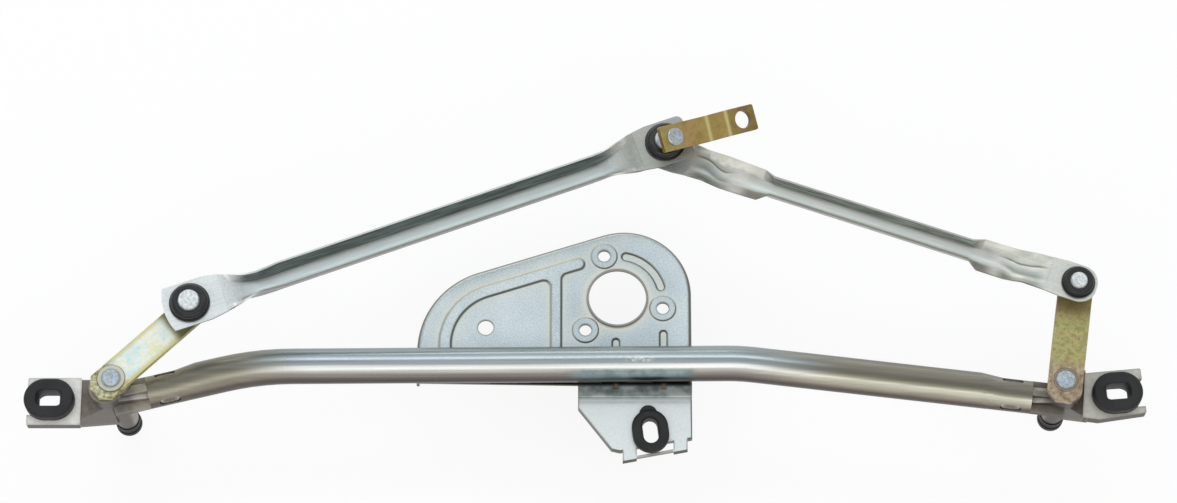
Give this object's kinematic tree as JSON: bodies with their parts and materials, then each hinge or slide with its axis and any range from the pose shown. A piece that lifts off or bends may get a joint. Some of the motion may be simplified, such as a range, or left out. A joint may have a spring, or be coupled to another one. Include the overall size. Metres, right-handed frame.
{
  "type": "windscreen wiper linkage",
  "caption": "Wiper linkage: tube frame with motor plate and cast pivot housings, crank arms and ball-jointed rods that a motor crank drives.",
  "frame": {"origin": "centre of the motor opening on the front face of the motor plate", "axes": "+X along the tube, +Y from the tube towards the rods, +Z towards the crank side; the wiper shafts point to -Z"},
  "size_m": [0.7788, 0.2431, 0.165],
  "materials": {
    "tube_steel": "bright drawn tube, lightly oiled",
    "galvanised_sheet": "satin galvanised sheet",
    "weld_metal": "rough weld bead",
    "cast_alloy": "matte die casting",
    "black_rubber": "matte moulded rubber",
    "seal_rubber": "matte rubber",
    "shaft_steel": "bright turned steel",
    "bush_bronze": "sintered bronze",
    "washer_steel": "plain washer steel",
    "spring_steel": "dark spring steel",
    "yellow_zinc_arm": "iridescent yellow passivated zinc",
    "yellow_zinc_crank": "strong gold yellow passivated zinc",
    "ball_steel": "polished ball",
    "zinc_rod": "bright zinc plated pressing",
    "black_nylon": "semi-gloss moulded plastic"
  },
  "bodies": {
    "frame": {"frame_tube": "tube_steel", "motor_plate": "galvanised_sheet", "plate_welds": "weld_metal", "left_pivot_housing": "cast_alloy", "right_pivot_housing": "cast_alloy", "left_grommet": "black_rubber", "right_grommet": "black_rubber", "centre_grommet": "black_rubber", "left_upper_bush": "bush_bronze", "left_lower_bush": "bush_bronze", "left_o_ring": "seal_rubber", "left_thrust_washer": "washer_steel", "left_lower_washer": "washer_steel", "left_shaft_seal": "seal_rubber", "right_upper_bush": "bush_bronze", "right_lower_bush": "bush_bronze", "right_o_ring": "seal_rubber", "right_thrust_washer": "washer_steel", "right_lower_washer": "washer_steel", "right_shaft_seal": "seal_rubber"},
    "left_arm": {"left_wiper_shaft": "shaft_steel", "left_crank_arm": "yellow_zinc_arm", "left_ball_stud": "ball_steel", "left_circlip": "spring_steel"},
    "right_arm": {"right_wiper_shaft": "shaft_steel", "right_crank_arm": "yellow_zinc_arm", "right_ball_stud": "ball_steel", "right_circlip": "spring_steel"},
    "left_rod": {"left_rod": "zinc_rod", "left_rod_outer_socket": "black_nylon", "left_rod_crank_socket": "black_nylon"},
    "right_rod": {"right_rod": "zinc_rod", "right_rod_outer_socket": "black_nylon", "right_rod_crank_socket": "black_nylon", "crank_pin_lower_ball": "ball_steel"},
    "crank": {"motor_crank": "yellow_zinc_crank", "crank_ball_pin": "ball_steel"}
  },
  "joints": [
    {"name": "left_arm_turn", "type": "hinge", "parent": "frame", "child": "left_arm", "pos_m": [-0.3504, -0.0715, 0.0346], "axis": [0, 0, 1], "range_deg": [0, 85]},
    {"name": "left_ball_turn", "type": "hinge", "parent": "left_arm", "child": "left_rod", "pos_m": [-0.29672, -0.02056, 0.0535], "axis": [0, 0, 1], "range_deg": [-99, 0]},
    {"name": "right_arm_turn", "type": "hinge", "parent": "frame", "child": "right_arm", "pos_m": [0.3093, -0.0726, 0.0346], "axis": [0, 0, 1], "range_deg": [0, 75]},
    {"name": "right_ball_turn", "type": "hinge", "parent": "right_arm", "child": "right_rod", "pos_m": [0.31926, -0.00594, 0.0535], "axis": [0, 0, 1], "range_deg": [-68, 0]},
    {"name": "crank_pin_turn", "type": "hinge", "parent": "left_rod", "child": "crank", "pos_m": [0.03329, 0.09601, 0.0615], "axis": [0.4413, -0.1855, 0.878], "continuous": true}
  ],
  "couplings": [
    {"joint": "left_ball_turn", "follows": "left_arm_turn", "ratio": -1.1601},
    {"joint": "right_arm_turn", "follows": "left_arm_turn", "ratio": 0.874},
    {"joint": "right_ball_turn", "follows": "left_arm_turn", "ratio": -0.79316}
  ]
}
